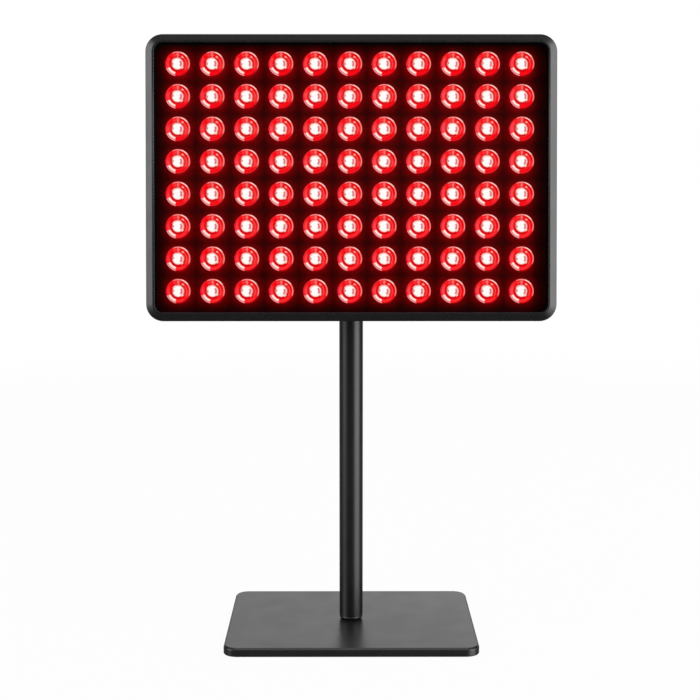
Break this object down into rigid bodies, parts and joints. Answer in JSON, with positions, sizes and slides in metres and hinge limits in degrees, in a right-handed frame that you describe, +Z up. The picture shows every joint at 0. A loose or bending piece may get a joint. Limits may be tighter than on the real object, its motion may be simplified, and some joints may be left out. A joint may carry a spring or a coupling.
{
  "type": "red light therapy panel",
  "caption": "Desk-standing red light therapy panel: a rounded frame of round red lenses that tilts on a tube stand with a flat steel base.",
  "frame": {"origin": "on the surface the feet stand on, below the middle of the base plate", "axes": "+Z up, the lens side of the panel faces -Y, +X to the viewer's right; the panel leans back 6 degrees at rest"},
  "size_m": [0.31, 0.156, 0.4754],
  "materials": {
    "black_paint": "fine satin powder coat on steel",
    "black_paint_aluminium": "fine satin powder coat on aluminium sheet",
    "black_plastic": "moulded, fine spark texture",
    "black_solder_mask": "aluminium-core board under black solder mask, lit red by the emitters",
    "red_lens": "moulded clear optic, lit red, with a white-hot middle",
    "black_rubber": "matt",
    "bright_steel": "zinc plated",
    "black_oxide_steel": "black oxide, oiled",
    "aluminium": "extruded, plain",
    "green_board": "solder mask",
    "copper_winding": "enamelled wire",
    "black_wire_sleeve": "soft insulation"
  },
  "bodies": {
    "stand": {"base_plate": "black_paint", "base_bolt": "black_oxide_steel", "foot_front_left": "black_rubber", "foot_front_right": "black_rubber", "foot_rear_left": "black_rubber", "foot_rear_right": "black_rubber", "pole": "black_paint", "pole_plug": "bright_steel", "hinge_head": "black_paint", "head_set_screw": "black_oxide_steel"},
    "panel": {"front_bezel": "black_plastic", "side_screw_top_left": "black_oxide_steel", "side_screw_top_right": "black_oxide_steel", "side_screw_bottom_left": "black_oxide_steel", "side_screw_bottom_right": "black_oxide_steel", "side_screw_left": "black_oxide_steel", "side_screw_right": "black_oxide_steel", "led_board": "black_solder_mask", "lens_row_1": "red_lens", "lens_row_2": "red_lens", "lens_row_3": "red_lens", "lens_row_4": "red_lens", "lens_row_5": "red_lens", "lens_row_6": "red_lens", "lens_row_7": "red_lens", "lens_row_8": "red_lens", "heat_sink": "aluminium", "rear_cover": "black_paint_aluminium", "backing_plate": "bright_steel", "tilt_bracket": "black_paint", "bracket_screw_1": "black_oxide_steel", "bracket_screw_2": "black_oxide_steel", "bracket_screw_3": "black_oxide_steel", "bracket_screw_4": "black_oxide_steel", "friction_washer_left": "bright_steel", "friction_washer_right": "bright_steel", "pivot_bolt": "black_oxide_steel", "fan_frame_left": "black_plastic", "fan_frame_right": "black_plastic", "fan_lead_left": "black_wire_sleeve", "fan_lead_right": "black_wire_sleeve", "driver_board": "green_board", "driver_inductor": "copper_winding", "driver_capacitor_left": "aluminium", "driver_capacitor_right": "aluminium", "terminal_block": "green_board", "inlet_lead": "black_wire_sleeve", "switch_lead": "black_wire_sleeve", "led_lead": "black_wire_sleeve", "power_inlet": "black_plastic", "inlet_nut": "bright_steel", "switch_housing": "black_plastic"},
    "knob": {"tilt_knob": "black_plastic"},
    "fan_left": {"fan_rotor_left": "black_plastic"},
    "fan_right": {"fan_rotor_right": "black_plastic"},
    "rocker": {"switch_rocker": "black_plastic"}
  },
  "joints": [
    {"name": "panel_tilt", "type": "hinge", "parent": "stand", "child": "panel", "pos_m": [0, 0, 0.3217], "axis": [-1, 0, 0], "range_deg": [-14, 24]},
    {"name": "knob_turn", "type": "hinge", "parent": "panel", "child": "knob", "pos_m": [0.02, 0, 0.3217], "axis": [1, 0, 0], "range_deg": [0, 360]},
    {"name": "fan_left_spin", "type": "hinge", "parent": "panel", "child": "fan_left", "pos_m": [-0.088, -0.02996, 0.37915], "axis": [0, 0.9945, -0.1045], "continuous": true},
    {"name": "fan_right_spin", "type": "hinge", "parent": "panel", "child": "fan_right", "pos_m": [0.088, -0.02996, 0.37915], "axis": [0, 0.9945, -0.1045], "continuous": true},
    {"name": "rocker_rock", "type": "hinge", "parent": "panel", "child": "rocker", "pos_m": [0.07, -0.02675, 0.2863], "axis": [1, 0, 0], "range_deg": [-16, 0]}
  ]
}
